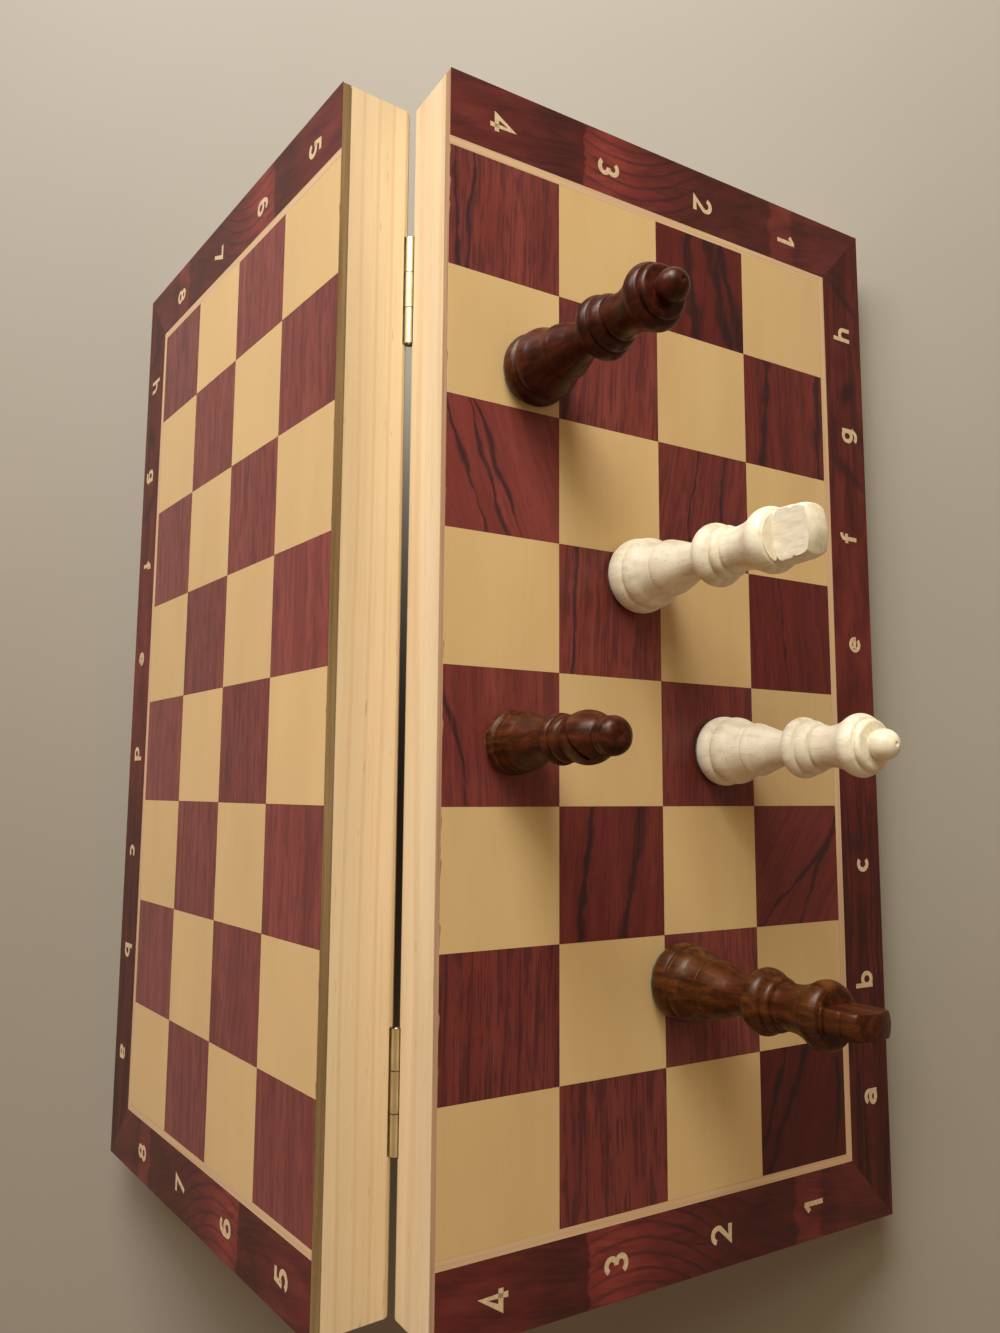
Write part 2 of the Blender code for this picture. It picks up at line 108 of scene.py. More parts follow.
OUTER_LINES = [
    (0.0, 0.35), (0.02, 0.6), (0.11, 0.5), (0.13, 0.08), (0.2, 0.08), (0.25, 0.6), (0.39, 0.75),
]
TONE_TOP = 2.4  # highest tone, as a ramp only holds 0 to 1
FOIL_LEVEL = 0.3  # third "grain" coordinate of all the foil, in metres
# (centre, radii, angle in degrees, strength) of the outer band's dark knots and streaks
OUTER_KNOTS = [
    ((0.07, 0.016), (0.0105, 0.0045), -30, 0.9),
    ((0.029, 0.014), (0.016, 0.0028), 57, 0.75),
    ((0.104, 0.015), (0.016, 0.0034), 56, 0.75),
    ((0.085, 0.0215), (0.009, 0.003), 8, 0.6),
    ((0.05, 0.0225), (0.01, 0.0024), 4, 0.45),
    ((0.238, 0.0195), (0.0035, 0.0022), 0, 0.6),
    ((0.252, 0.011), (0.006, 0.004), 20, 0.45),
]

LACQUER = {"sheen": 0.04, "sheen_roughness": 0.4}  # the veneers' haze at low angles
# Painted: the darker squares, mostly in ranks 1 and 2, are made redder, standing in for less lacquer
# reflection over them.
PAINTED_LESS_REFLECTION_HUE = (1.04, 0.4, 0.36)  # what the darkest squares' colour is multiplied by
PLAIN_TONE = 1.50  # rosewood this bright or brighter keeps its hue
DARKEST_TONE = 0.50

SAME_PLACE = 1e-6  # points this close are one

# Turned men
MAN_SEGMENTS = 112
PROFILE_STEP = 0.45 * MM
EDGE_ROUNDING = 0.20 * MM
MOST_EASED = 0.45  # of the way from a corner to the points beside it
SMOOTH_BELOW = math.radians(38)
POCKET_CLEARANCE = 0.3 * MM  # round the magnet and over it
# The wood shows its colour fully where it is thick, and only partly where the turning is thin.
THIN_RADIUS = 6.0 * MM
THICK_RADIUS = 10.0 * MM
THIN_SHARE = 0.35


# ---- Frame helpers ----

class Half:
    """One half of the box and its directions in the row frame."""

    def __init__(self, side):
        self.side = side
        self.sign = 1 if side == "right" else -1
        self.body = f"{side}_half"
        self.out = Vector((self.sign * math.cos(SLOPE), 0.0, -math.sin(SLOPE)))
        self.up = Vector((self.sign * math.sin(SLOPE), 0.0, math.cos(SLOPE)))
        low, high = self.box(f"playing_panel_{side}")
        self.start = low.x
        self.width = high.x
        self.length = high.y - low.y
        self.surface = high.z
        self.edge = SQUARES_ALONG * SQUARE / 2
        self.first_rank = 4 if side == "right" else 5

    def at(self, out, along, up):
        return AXIS + out * self.out + Vector((0.0, along, 0.0)) + up * self.up

    def local(self, point):
        offset = Vector(point) - AXIS
        return Vector((offset.dot(self.out), offset.y, offset.dot(self.up)))

    def box(self, node):
        """Lowest and highest corner of a CAD node in this half's own directions."""
        points = [self.local(vertex.co) for vertex in frame["nodes"][node].data.vertices]
        return [Vector(pick(point[axis] for point in points) for axis in range(3)) for pick in (min, max)]


RIGHT = Half("right")
LEFT = Half("left")


def add_object(name, data):
    made = bpy.data.objects.new(name, data)
    bpy.context.scene.collection.objects.link(made)
    return made


def mesh_object(name, form):
    """Turn a bmesh into an object, and free it."""
    mesh = bpy.data.meshes.new(name)
    form.to_mesh(mesh)
    form.free()
    return add_object(name, mesh)


def add_piece(name, form, body, material, smooth_below=None):
    """Turn a bmesh, already in the row frame, into a piece that rides on a CAD body."""
    bmesh.ops.recalc_face_normals(form, faces=form.faces)
    piece = mesh_object(name, form)
    piece.data.materials.append(material)
    if smooth_below:
        piece.data.shade_smooth()
        piece.data.set_sharp_from_angle(angle=smooth_below)
    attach(piece, body)
    return piece


def point_layer(form, name, kind="float"):
    """The point attribute of that name, made if it isn't there yet."""
    layers = getattr(form.verts.layers, kind)
    return layers.get(name) or layers.new(name)


# ---- Materials ----

class Look:
    """A node material under construction. Its methods add nodes and return an output socket."""

    def __init__(self, name):
        self.material = bpy.data.materials.new(name)
        self.material.use_nodes = True
        self.tree = self.material.node_tree
        self.shader = self.tree.nodes["Principled BSDF"]

    def node(self, kind, inputs, **settings):
        """A new node with its settings, and its inputs by name or number."""
        made = self.tree.nodes.new(kind)
        for name, value in settings.items():
            setattr(made, name, value)
        for name, value in inputs.items():
            self.feed(made.inputs[name], value)
        return made

    def feed(self, socket, value):
        if isinstance(value, bpy.types.NodeSocket):
            self.tree.links.new(value, socket)
        elif isinstance(value, tuple) and len(value) == 3 and socket.type == "RGBA":
            socket.default_value = (*value, 1.0)
        else:
            socket.default_value = value

    def attribute(self, name):
        return self.node("ShaderNodeAttribute", {}, attribute_name=name).outputs["Vector"]

    def number(self, name):
        """A point attribute that holds one number."""
        return self.node("ShaderNodeAttribute", {}, attribute_name=name).outputs["Fac"]

    def place(self):
        """Coordinates in the row frame, at rest, for a CAD node."""
        return self.node("ShaderNodeTexCoord", {}).outputs["Object"]

    def turned(self, vector, rotation):
        return self.node("ShaderNodeMapping", {"Vector": vector, "Rotation": rotation}).outputs["Vector"]

    def vector(self, operation, first, second):
        made = self.node("ShaderNodeVectorMath", {0: first, 1: second}, operation=operation)
        return made.outputs["Vector"]

    def math(self, operation, first, second=0.0):
        return self.node("ShaderNodeMath", {0: first, 1: second}, operation=operation).outputs["Value"]

    def times(self, first, second):
        return self.math("MULTIPLY", first, second)

    def parts(self, vector):
        return self.node("ShaderNodeSeparateXYZ", {0: vector}).outputs[:3]

    def length(self, vector):
        return self.node("ShaderNodeVectorMath", {0: vector}, operation="LENGTH").outputs["Value"]

    def scaled(self, vector, factor):
        made = self.node("ShaderNodeVectorMath", {0: vector, "Scale": factor}, operation="SCALE")
        return made.outputs["Vector"]

    def noise(self, vector, stretch, detail=2, roughness=0.5, output="Fac"):
        """Noise of about stretch cells a metre, the same or one number for each direction, 0 to 1."""
        if not isinstance(stretch, tuple):
            stretch = (stretch, stretch, stretch)
        made = self.node("ShaderNodeTexNoise", {
            "Vector": self.vector("MULTIPLY", vector, stretch), "Scale": 1.0, "Detail": detail,
            "Roughness": roughness,
        })
        return made.outputs[output]

    def push(self, vector, stretch, detail):
        """Three independent noises round 0, as a vector."""
        noises = self.noise(vector, stretch, detail, output="Color")
        return self.vector("SUBTRACT", noises, (0.5, 0.5, 0.5))

    def warped(self, vector, stretch, reach, detail=2):
        """The vector pushed about by noise, by up to half of reach in each direction."""
        push = self.vector("MULTIPLY", self.push(vector, stretch, detail), reach)
        return self.vector("ADD", vector, push)

    def ridge(self, vector, stretch, width):
        """Thin lines along the middle level of a noise, 1 on the line; width is in noise levels."""
        away = self.math("ABSOLUTE", self.math("SUBTRACT", self.noise(vector, stretch), 0.5))
        return self.step(away, width, width * 0.2)

    def broken_ridge(self, vector, stretch, width, gaps, low, high):
        """Such lines, only where a second noise, of gaps cells a metre, rises from low to high."""
        shown = self.step(self.noise(vector, gaps), low, high)
        return self.times(self.ridge(vector, stretch, width), shown)

    def rings(self, distance, pitch, low):
        """Growth rings a pitch apart, 1 at their darkest; low sets how wide they are."""
        wave = self.math("SINE", self.times(distance, 2 * math.pi / pitch))
        return self.step(wave, low, 1.0)

    def oval(self, vector, centre, radii, angle):
        """1 inside an oval in the xy plane, falling to 0 at its rim."""
        offset = self.turned(self.vector("SUBTRACT", vector, (*centre, 0.0)), (0.0, 0.0, -angle))
        reach = self.length(self.vector("MULTIPLY", offset, (1 / radii[0], 1 / radii[1], 0.0)))
        return self.step(reach, 1.1, 0.2)

    def step(self, value, low, high):
        """0 below low, 1 above high, smooth between; falls instead if low is above high."""
        inputs = {"Value": value, "From Min": low, "From Max": high}
        made = self.node("ShaderNodeMapRange", inputs, interpolation_type="SMOOTHSTEP")
        return made.outputs["Result"]

    def ramp(self, value, stops):
        """Colours, or numbers, that follow value between (position, colour) stops."""
        made = self.node("ShaderNodeValToRGB", {"Fac": value})
        elements = made.color_ramp.elements
        while len(elements) < len(stops):
            elements.new(1.0)
        for element, (position, colour) in zip(elements, stops):
            element.position = position
            element.color = (*colour, 1.0) if isinstance(colour, tuple) else (colour, colour, colour, 1.0)
        return made.outputs["Color"]

    def mix(self, share, first, second, blend="MIX"):
        inputs = {0: share, 6: first, 7: second}
        made = self.node("ShaderNodeMix", inputs, data_type="RGBA", blend_type=blend, clamp_factor=True)
        return made.outputs[2]

    def blend(self, share, low, high):
        """A number that goes from low to high with share."""
        inputs = {0: share, 2: low, 3: high}
        return self.node("ShaderNodeMix", inputs, data_type="FLOAT", clamp_factor=True).outputs[0]

    def stained(self, colour, share, strength, stain):
        """The colour covered by a stain as far as share times strength."""
        return self.mix(self.times(share, strength), colour, stain)

    def finish(self, colour, roughness, relief=None, **inputs):
        """The whole material. relief is a height from 0 to 1, its depth in metres and its strength."""
        sockets = {
            "metallic": "Metallic", "specular": "Specular IOR Level", "specular_tint": "Specular Tint",
            "sheen": "Sheen Weight", "sheen_roughness": "Sheen Roughness",
            "subsurface": "Subsurface Weight", "subsurface_scale": "Subsurface Scale",
        }
        values = {"Base Color": colour, "Roughness": roughness}
        values.update({sockets[name]: value for name, value in inputs.items()})
        if relief:
            bump = dict(zip(("Height", "Distance", "Strength"), relief))
            values["Normal"] = self.node("ShaderNodeBump", bump).outputs["Normal"]
        for name, value in values.items():
            self.feed(self.shader.inputs[name], value)
        return self.material


def rosewood_look():
    """Red-brown veneer. "lines" is the strength of its fine dark lines, "bold" holds the distances in
    metres to three bold black streaks, and "bold_width" is their half width."""
    look = Look("rosewood_veneer")
    grain = look.attribute("grain")
    bent = look.warped(grain, (26, 40, 30), (0, 0.0022, 0))
    broad = look.noise(bent, (11, 130, 60), detail=4, roughness=0.6)
    colour = look.ramp(broad, [
        (0.28, (0.091, 0.0162, 0.0134)), (0.44, (0.112, 0.0206, 0.0166)),
        (0.58, (0.13, 0.0254, 0.0198)), (0.76, (0.152, 0.0322, 0.0242)),
    ])
    thin = look.broken_ridge(bent, (7, 360, 60), 0.06, (40, 210, 60), 0.36, 0.56)
    fine = look.broken_ridge(bent, (14, 760, 60), 0.13, (90, 420, 60), 0.42, 0.62)
    lines = look.math("MAXIMUM", look.times(thin, 0.75), look.times(fine, 0.7))
    lines = look.times(lines, look.number("lines"))
    colour = look.mix(lines, colour, (0.042, 0.0098, 0.01))
    pores = look.noise(grain, (210, 2500, 60), detail=1)
    colour = look.stained(colour, look.step(pores, 0.64, 0.76), 0.45, (0.02, 0.006, 0.006))
    colour = look.mix(bold_streaks(look, grain), colour, (0.015, 0.0075, 0.0095))
    cloud = look.noise(grain, 60, detail=3)
    colour = look.mix(look.step(cloud, 0.45, 0.75), colour, (1.0, 0.92, 0.86), "MULTIPLY")
    # tone is each square's brightness; on the left half it is raised as painted light.
    tone = look.number("tone")
    colour = look.scaled(colour, tone)
    # Painted: the darker squares turn redder, standing in for less lacquer reflection over them.
    colour = look.mix(look.step(tone, PLAIN_TONE, DARKEST_TONE), colour, PAINTED_LESS_REFLECTION_HUE, "MULTIPLY")
    relief = look.math("SUBTRACT", broad, look.times(lines, 0.5))
    roughness = look.blend(lines, 0.34, 0.46)
    return look.finish(colour, roughness, (relief, 0.05 * MM, 0.35), specular=0.32, **LACQUER)


def bold_streaks(look, grain):
    """How much of the black streaks shows, 0 to 1: they waver, swell and break up."""
    half_width = look.number("bold_width")
    swell = look.blend(look.step(look.noise(grain, 75, detail=3), 0.3, 0.68), 0.25, 1.5)
    half_width = look.times(half_width, swell)
    sway = look.parts(look.push(grain, 62, 3))
    whole = None
    for distance, waver in zip(look.parts(look.attribute("bold")), sway):
        away = look.math("ADD", distance, look.times(waver, 6.5 * MM))
        share = look.step(look.math("DIVIDE", look.math("ABSOLUTE", away), half_width), 1.7, 0.2)
        whole = share if whole is None else look.math("MAXIMUM", whole, share)
    fibres = look.step(look.noise(grain, (60, 1400, 60)), 0.22, 0.52)
    return look.times(look.times(whole, look.blend(fibres, 0.45, 1.0)), 0.85)


def maple_look():
    """Plain pale tan veneer, with a faint cloud, stripe and fleck."""
    look = Look("maple_veneer")
    grain = look.attribute("grain")
    bent = look.warped(grain, (25, 30, 20), (0, 0.004, 0))
    broad = look.noise(bent, (14, 52, 40), detail=3)
    colour = look.ramp(broad, [
        (0.25, (0.562, 0.36, 0.157)), (0.5, (0.592, 0.386, 0.17)), (0.78, (0.616, 0.408, 0.183)),
    ])
    fine = look.noise(bent, (40, 1300, 40))
    colour = look.stained(colour, look.step(fine, 0.52, 0.3), 0.07, (0.42, 0.25, 0.1))
    fleck = look.noise(grain, (420, 1700, 40), detail=1)
    colour = look.stained(colour, look.step(fleck, 0.7, 0.82), 0.16, (0.36, 0.21, 0.09))
    # Some pale squares' tone holds painted light and shade: darker where shade falls, lighter where the
    # men's shadows fall.
    colour = look.scaled(colour, look.number("tone"))
    roughness = look.blend(look.step(broad, 0.3, 0.7), 0.42, 0.5)
    return look.finish(colour, roughness, (fine, 0.03 * MM, 0.25), specular=0.42, **LACQUER)


def foil_colour(look, bent, streak_share):
    """Mottled red-brown with fine dark streaks along x, shared by the border's foils."""
    broad = look.noise(bent, (38, 120, 60), detail=4, roughness=0.62)
    colour = look.ramp(broad, [
        (0.28, (0.05, 0.0064, 0.0052)), (0.46, (0.078, 0.0106, 0.0082)),
        (0.6, (0.1, 0.0146, 0.011)), (0.78, (0.13, 0.0212, 0.0152)),
    ])
    streak = look.broken_ridge(bent, (26, 360, 60), 0.11, (60, 160, 60), 0.4, 0.62)
    return look.stained(colour, streak, streak_share, (0.02, 0.005, 0.0055))


def foil_toned(look, colour, place, tones, length):
    """The foil's colour, lighter and darker along the band."""
    tone = look.times(look.ramp(place, spread(tones, length, 1 / TONE_TOP)), TONE_TOP)
    return look.scaled(colour, tone)


def border_end_look():
    """The foil on the two ends: a light red stretch with arched growth lines, between darker ones.
    x runs from the hinge line outwards and y from the squares to the outer edge."""
    look = Look("border_foil_end")
    grain = look.attribute("grain")
    bent = look.warped(grain, (30, 45, 30), (0.004, 0.0045, 0), detail=3)
    slanted = look.turned(bent, (0.0, 0.0, math.radians(-10)))
    colour = foil_colour(look, slanted, 0.45)
    reach = look.length(look.vector("SUBTRACT", bent, (*END_RINGS_CENTRE, FOIL_LEVEL)))
    rings = look.rings(reach, 4.3 * MM, 0.45)
    rings = look.times(rings, look.blend(look.noise(grain, (70, 110, 60)), 0.35, 1.25))
    ragged = look.parts(look.warped(grain, (60, 240, 1), (0.006, 0, 0), detail=4))[0]
    place = look.math("DIVIDE", ragged, END_LENGTH)
    share = look.ramp(place, spread(END_RINGS, END_LENGTH))
    colour = look.stained(colour, rings, share, (0.026, 0.0062, 0.0062))
    colour = foil_toned(look, colour, place, END_TONES, END_LENGTH)
    return look.finish(colour, 0.42, (rings, 0.02 * MM, 0.2), specular=0.36)


def border_outer_look():
    """The foil along the outer edge: knots near the h-file, plain in the middle, and wavy lines near
    the a-file. x runs from the h-file end and y from the squares to the outer edge."""
    look = Look("border_foil_outer")
    grain = look.attribute("grain")
    bent = look.warped(grain, (28, 50, 30), (0.005, 0.004, 0), detail=3)
    colour = foil_colour(look, bent, 0.3)
    place = look.math("DIVIDE", look.parts(grain)[0], OUTER_LENGTH)
    wavy = look.ridge(look.warped(bent, (16, 30, 1), (0, 0.006, 0)), (7, 165, 60), 0.075)
    wavy = look.times(wavy, look.ramp(place, spread(OUTER_LINES, OUTER_LENGTH)))
    colour = look.mix(wavy, colour, (0.022, 0.0052, 0.0052))
    gnarled = look.warped(grain, (85, 85, 30), (0.008, 0.008, 0), detail=4)
    for centre, radii, angle, share in OUTER_KNOTS:
        knot = look.oval(gnarled, centre, radii, math.radians(angle))
        colour = look.stained(colour, knot, share, (0.022, 0.0062, 0.006))
    colour = foil_toned(look, colour, place, OUTER_TONES, OUTER_LENGTH)
    return look.finish(colour, 0.42, (wavy, 0.02 * MM, 0.2), specular=0.26)


def spread(stops, length, scale=1.0):
    """Ramp stops from (metres, value) pairs over a length."""
    return [(place / length, value * scale) for place, value in stops]


def stringing_look():
    look = Look("stringing")
    grain = look.attribute("grain")
    stripe = look.noise(grain, (12, 700, 40))
    colour = look.ramp(stripe, [(0.3, (0.52, 0.325, 0.175)), (0.7, (0.62, 0.405, 0.23))])
    return look.finish(colour, 0.45, (stripe, 0.02 * MM, 0.3), specular=0.32)


def ink_look():
    look = Look("coordinate_print")
    speck = look.noise(look.place(), 900)
    colour = look.ramp(speck, [(0.35, (0.52, 0.36, 0.2)), (0.65, (0.64, 0.47, 0.28))])
    return look.finish(colour, 0.5)


def pine_look(name, turn=0.0, painted_shade=1.0):
    """Pale planed pine with its grain along Y, or along X after a quarter turn about Z. A factor below 1
    darkens it all, as painted shade on a rail that gets less light.
    """
    look = Look(name)
    place = look.turned(look.place(), (0.0, 0.0, turn))
    bent = look.warped(place, (14, 2.2, 14), (0.012, 0, 0.012))
    centre = look.vector("SUBTRACT", bent, (0.075, 0.0, 0.02))
    late = look.rings(look.length(look.vector("MULTIPLY", centre, (1.0, 0.0, 1.0))), 5.2 * MM, 0.55)
    broad = look.noise(place, (60, 5, 60), detail=3)
    colour = look.ramp(broad, [
        (0.28, (0.66, 0.475, 0.27)), (0.52, (0.735, 0.545, 0.325)), (0.75, (0.79, 0.605, 0.375)),
    ])
    colour = look.stained(colour, late, 0.3, (0.56, 0.34, 0.145))
    fine = look.noise(place, (900, 22, 900), detail=3, roughness=0.6)
    colour = look.stained(colour, look.step(fine, 0.5, 0.28), 0.22, (0.52, 0.33, 0.16))
    ducts = look.noise(place, (1300, 110, 1300), detail=1)
    colour = look.stained(colour, look.step(ducts, 0.7, 0.8), 0.45, (0.4, 0.22, 0.09))
    # Painted shade: the whole colour is darker for a rail that gets less light.
    colour = look.scaled(colour, painted_shade)
    relief = look.math("ADD", look.times(late, 0.35), look.times(fine, 0.65))
    return look.finish(colour, 0.52, (relief, 0.06 * MM, 0.4), specular=0.4)


def fibreboard_look(name, dark, middle, light):
    """A panel's brown core: pressed fibres in thin layers."""
    look = Look(name)
    place = look.place()
    layers = look.noise(place, (620, 14, 620), detail=3)
    fibres = look.noise(place, (1500, 700, 1500), detail=3, roughness=0.7)
    colour = look.ramp(layers, [(0.3, dark), (0.55, middle), (0.8, light)])
    colour = look.stained(colour, look.step(fibres, 0.55, 0.75), 0.5, light)
    return look.finish(colour, 0.85, (fibres, 0.12 * MM, 0.6), specular=0.15)


def brass_look():
    look = Look("hinge_brass")
    place = look.place()
    scratch = look.noise(place, (2600, 60, 2600), detail=3)
    stain = look.noise(place, 130, detail=4)
    colour = look.ramp(stain, [
        (0.35, (0.7, 0.6, 0.36)), (0.6, (0.82, 0.74, 0.5)), (0.8, (0.88, 0.82, 0.6)),
    ])
    roughness = look.blend(look.step(stain, 0.35, 0.7), 0.36, 0.28)
    return look.finish(colour, roughness, (scratch, 0.02 * MM, 0.3), metallic=1.0)


def felt_look(name, dark, light):
    look = Look(name)
    bent = look.warped(look.place(), 900, (0.0006, 0.0006, 0.0006))
    fuzz = look.noise(bent, 2300, detail=4, roughness=0.7)
    colour = look.ramp(fuzz, [(0.3, dark), (0.7, light)])
    return look.finish(colour, 0.95, (fuzz, 0.35 * MM, 0.8), sheen=0.4, sheen_roughness=0.5)


def plated_look(name, colour_low, colour_high):
    look = Look(name)
    mottle = look.noise(look.place(), 400, detail=3)
    colour = look.ramp(mottle, [(0.3, colour_low), (0.7, colour_high)])
    roughness = look.blend(mottle, 0.22, 0.42)
    return look.finish(colour, roughness, metallic=1.0)


def dark_man_look():
    """Stained and lacquered turning wood; "tone" goes from red-black to olive brown."""
    look = Look("dark_turned_wood")
    grain = look.attribute("grain")
    tone = look.number("tone")
    bent = look.warped(grain, (60, 25, 60), (0.0015, 0, 0.0015))
    rings = look.noise(bent, (420, 22, 420), detail=3, roughness=0.6)
    red = look.ramp(rings, [
        (0.28, (0.014, 0.0024, 0.0012)), (0.48, (0.036, 0.0056, 0.0024)),
        (0.62, (0.06, 0.0098, 0.0038)), (0.8, (0.088, 0.016, 0.0056)),
    ])
    brown = look.ramp(rings, [
        (0.28, (0.02, 0.006, 0.0015)), (0.48, (0.06, 0.0168, 0.0033)),
        (0.62, (0.1, 0.0298, 0.0054)), (0.8, (0.138, 0.0445, 0.0082)),
    ])
    colour = look.mix(tone, red, brown)
    pores = look.noise(grain, (2200, 130, 2200))
    colour = look.stained(colour, look.step(pores, 0.6, 0.74), 0.55, (0.009, 0.003, 0.002))
    relief = look.math("SUBTRACT", look.times(rings, 0.3), look.times(pores, 0.7))
    tint = (1.0, 0.8, 0.62)
    return look.finish(colour, 0.34, (relief, 0.08 * MM, 0.6), specular=0.24, specular_tint=tint)


def white_man_look():
    """Cream satin turning wood; "rough" marks sawn faces."""
    look = Look("white_turned_wood")
    grain = look.attribute("grain")
    rough = look.number("rough")
    bent = look.warped(grain, (60, 25, 60), (0.002, 0, 0.002))
    rings = look.noise(bent, (300, 18, 300), detail=3)
    colour = look.ramp(rings, [
        (0.28, (0.64, 0.535, 0.365)), (0.5, (0.78, 0.675, 0.49)), (0.75, (0.85, 0.755, 0.58)),
    ])
    fine = look.noise(grain, (2400, 120, 2400))
    colour = look.stained(colour, look.step(fine, 0.54, 0.74), 0.42, (0.45, 0.34, 0.21))
    colour = look.stained(colour, rough, 0.55, (0.6, 0.5, 0.36))
    relief = look.math("SUBTRACT", look.times(rings, 0.3), look.times(fine, 0.7))
    return look.finish(
        colour, look.blend(rough, 0.46, 0.8), (relief, 0.05 * MM, 0.5), specular=0.45,
        subsurface=0.08, subsurface_scale=1.2 * MM,
    )


# ---- Veneer ----

def add_veneer(form, half, corners, vectors, numbers):
    """A flat sheet on a half's playing surface, from (out, along) corners, with its point attributes."""
    layers = {name: point_layer(form, name, "float_vector") for name in vectors(*corners[0])}
    layers.update({name: point_layer(form, name) for name in numbers})
    rows = []
    for up in (0.0, VENEER):
        row = []
        for out, along in corners:
            vertex = form.verts.new(half.at(out, along, half.surface + up))
            for name, value in (vectors(out, along) | numbers).items():
                vertex[layers[name]] = value
            row.append(vertex)
        rows.append(row)
    bottom, top = rows
    count = len(corners)
    form.faces.new(top)
    form.faces.new(bottom[::-1])
    for i in range(count):
        j = (i + 1) % count
        form.faces.new((bottom[i], bottom[j], top[j], top[i]))


def chipped_edge(seed, start, along_from, along_to):
    """Corners from along_from to along_to on the hinge-side edge, with small bites out of the veneer."""
    chooser = random.Random(seed)
    corners = []
    bite = 0.0
    for i in range(CHIP_STEPS + 1):
        bite = max(0.0, bite - CHIP_CLOSING)
        if chooser.random() < CHIP_CHANCE:
            bite = chooser.uniform(*CHIP_DEPTHS) * MM
        depth = bite + CHIP_RAGGEDNESS * chooser.random()
        if i in (0, CHIP_STEPS):
            depth = 0.0
        corners.append((start + depth, along_from + (along_to - along_from) * i / CHIP_STEPS))
    return corners


# Squares with a figure of their own: brightness, slant of the grain in degrees, strength of the fine
# lines, half width of the bold streaks in millimetres, and each streak's offset from the middle in
# millimetres and its slant.
FIGURE = {
    "h4": (1.52, 1, 1.0, 0.7, [(-19, -2), (-13, 3)]),
    "h2": (0.85, 6, 0.55, 2.4, [(-5, -4), (9, -14), (15, -16)]),
    "g3": (1.4, 3, 0.92, 0.9, [(-16, 8)]),
    "g1": (1.02, -1, 0.8, 1.9, [(-11, 3), (19, 0)]),
    "f4": (1.72, -20, 0.35, 0.75, [(-6, -20), (-14, -20), (-2, -24)]),
    "f2": (1.26, 10, 0.75, 0.75, [(-6, 9), (8, 9)]),
    "e3": (1.68, 2, 1.0, 0.6, [(-15, 4)]),
    "e1": (0.9, -4, 0.65, 0.6, [(-4, -5)]),
    "d4": (1.5, -3, 0.6, 0.6, [(-17, -14)]),
    "d2": (1.3, 0, 0.8, 0.6, []),
    "c3": (1.14, 4, 0.5, 1.6, [(-11, 8), (8, 11)]),
    "c1": (1.1, 38, 0.5, 0.8, [(6, 50), (12, 30)]),
    "b4": (1.26, 1, 1.1, 0.6, []),
    "b2": (1.56, -2, 0.95, 0.6, []),
    "a3": (1.28, -1, 1.15, 0.6, []),
    "a1": (0.55, 22, 0.5, 1.2, [(-8, 26), (-17, 22), (17, 4)]),
    # e5 and c5 lie on the left half, whose dark squares are brightened as painted light.
    "e5": (1.88, 1, 0.75, 1.0, []),
    "c5": (1.76, -1, 0.75, 1.0, []),
}
# How much brighter some of the pale squares are than the rest, partly as painted light and shade:
# d1 and b1 are darker towards the outer edge, d1 also under the white queen's shadow, and f3, c2 and e4
# are lighter, softening the men's shadows on them.
PALE_TONES_AND_PAINTED_LIGHT = {
    "h1": 0.98, "g4": 1.03, "f3": 1.07, "e4": 1.06, "e2": 0.95, "d5": 1.07, "d1": 0.9, "c2": 1.06,
    "c4": 1.03, "b3": 1.02, "b1": 0.95, "a4": 0.96,
}
FRAME_PIECES = ("stringing", "border_ends", "border_outer")
MOST_STREAKS = 3  # a "bold" vector holds one distance for each
NO_STREAK = 1.0  # metres: too far away to show


def build_squares(half, dark_look, light_look):
    """The half's 32 squares, the dark ones in one piece and the pale ones in another."""
    dark = bmesh.new()
    light = bmesh.new()
    for out_index in range(SQUARES_OUT):
        rank = half.first_rank - half.sign * out_index
        for file_index, file_name in enumerate(FILES):
            name = f"{file_name}{rank}"
            chooser = random.Random(name)
            is_dark = ("abcdefgh".index(file_name) + rank) % 2 == 1
            middle = ((out_index + 0.5) * SQUARE, half.edge - (file_index + 0.5) * SQUARE)
            corners = square_corners(half, out_index, file_index, name)
            turn = math.radians(chooser.uniform(-2.5, 2.5))
            shift = Vector([chooser.uniform(0, 3) for axis in range(3)])
            bold = []
            # A pale square's tone, with the painted light and shade of some squares.
            numbers = {"tone": PALE_TONES_AND_PAINTED_LIGHT.get(name, 1.0) * chooser.uniform(0.98, 1.02)}
            if is_dark:
                # Dark squares without an entry lie on the left half; their brightness of 1.42 to 1.64 is
                # painted light, for the lighter look of that half seen at a low angle.
                tone, lines = chooser.uniform(1.42, 1.64), chooser.uniform(0.65, 0.95)
                plain = (tone, math.degrees(turn), lines, 1.0, [])
                tone, slant, lines, bold_width, bold = FIGURE.get(name, plain)
                numbers = {"tone": tone, "lines": lines, "bold_width": bold_width * MM}
                turn = math.radians(slant)

            def vectors(out, along):
                with_grain = along * math.cos(turn) + out * math.sin(turn)
                across = out * math.cos(turn) - along * math.sin(turn)
                distances = [
                    streak_distance(streak, out - middle[0], along - middle[1]) for streak in bold
                ]
                distances += [NO_STREAK] * (MOST_STREAKS - len(distances))
                return {"grain": shift + Vector((with_grain, across, 0.0)), "bold": Vector(distances)}
            add_veneer(dark if is_dark else light, half, corners, vectors, numbers)
    add_piece(f"dark_squares_{half.side}", dark, half.body, dark_look)
    add_piece(f"light_squares_{half.side}", light, half.body, light_look)


